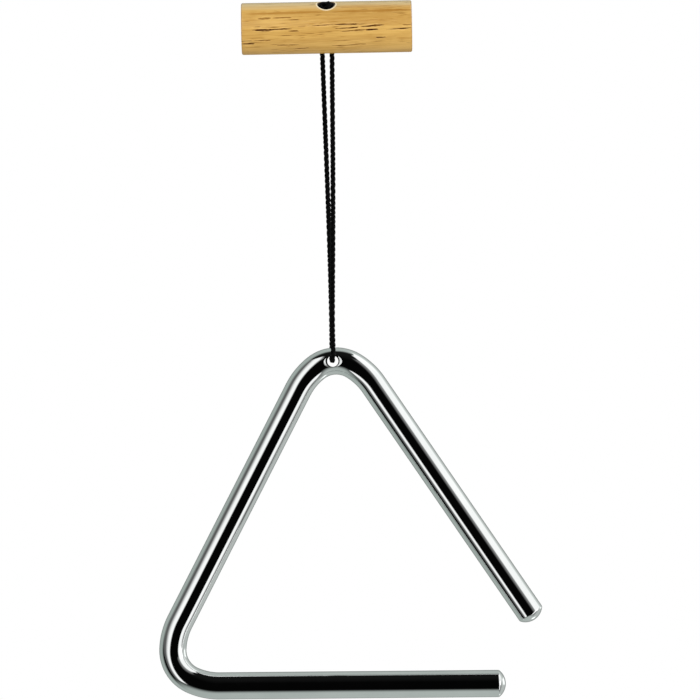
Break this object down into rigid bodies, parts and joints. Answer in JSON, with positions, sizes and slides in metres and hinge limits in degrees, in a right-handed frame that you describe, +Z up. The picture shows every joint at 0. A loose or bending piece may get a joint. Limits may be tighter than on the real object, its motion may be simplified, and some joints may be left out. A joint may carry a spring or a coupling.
{
  "type": "triangle instrument",
  "caption": "Bent chromed bar triangle, open at one corner, hung by a doubled black cord from a wooden dowel handle; struck to ring.",
  "frame": {"origin": "middle of the wooden handle, on its axis and on the axis of its cross bore", "axes": "+X along the handle towards the triangle's open side, +Y away from the player, +Z up; the triangle hangs plumb in a plane parallel to XZ"},
  "size_m": [0.1129, 0.0172, 0.2054],
  "materials": {
    "hardwood": "satin lacquered straight-grained hardwood",
    "black_cord": "twisted black nylon cord",
    "chromed_steel": "bright mirror chrome"
  },
  "bodies": {
    "handle": {"handle_dowel": "hardwood"},
    "cord_head": {"stopper_knot": "black_cord", "left_bore_strand": "black_cord", "right_bore_strand": "black_cord"},
    "cord_neck": {"left_neck_strand": "black_cord", "right_neck_strand": "black_cord"},
    "hanging_cord": {"cord_loop": "black_cord"},
    "triangle": {"triangle_rod": "chromed_steel"}
  },
  "joints": [
    {"name": "cord_swivel", "type": "hinge", "parent": "handle", "child": "cord_head", "pos_m": [0, 0, 0], "axis": [0, -0.4848, 0.8746], "continuous": true},
    {"name": "cord_swing", "type": "hinge", "parent": "cord_head", "child": "cord_neck", "pos_m": [0, 0.00413, -0.00746], "axis": [1, 0, 0], "range_deg": [-55, 90]},
    {"name": "triangle_twist", "type": "hinge", "parent": "cord_neck", "child": "hanging_cord", "pos_m": [0, 0.00413, -0.0117], "axis": [0, 0, 1], "range_deg": [-180, 180]},
    {"name": "triangle_rock", "type": "hinge", "parent": "hanging_cord", "child": "triangle", "pos_m": [0, 0.00413, -0.098], "axis": [0, 1, 0], "range_deg": [-90, 90]}
  ]
}
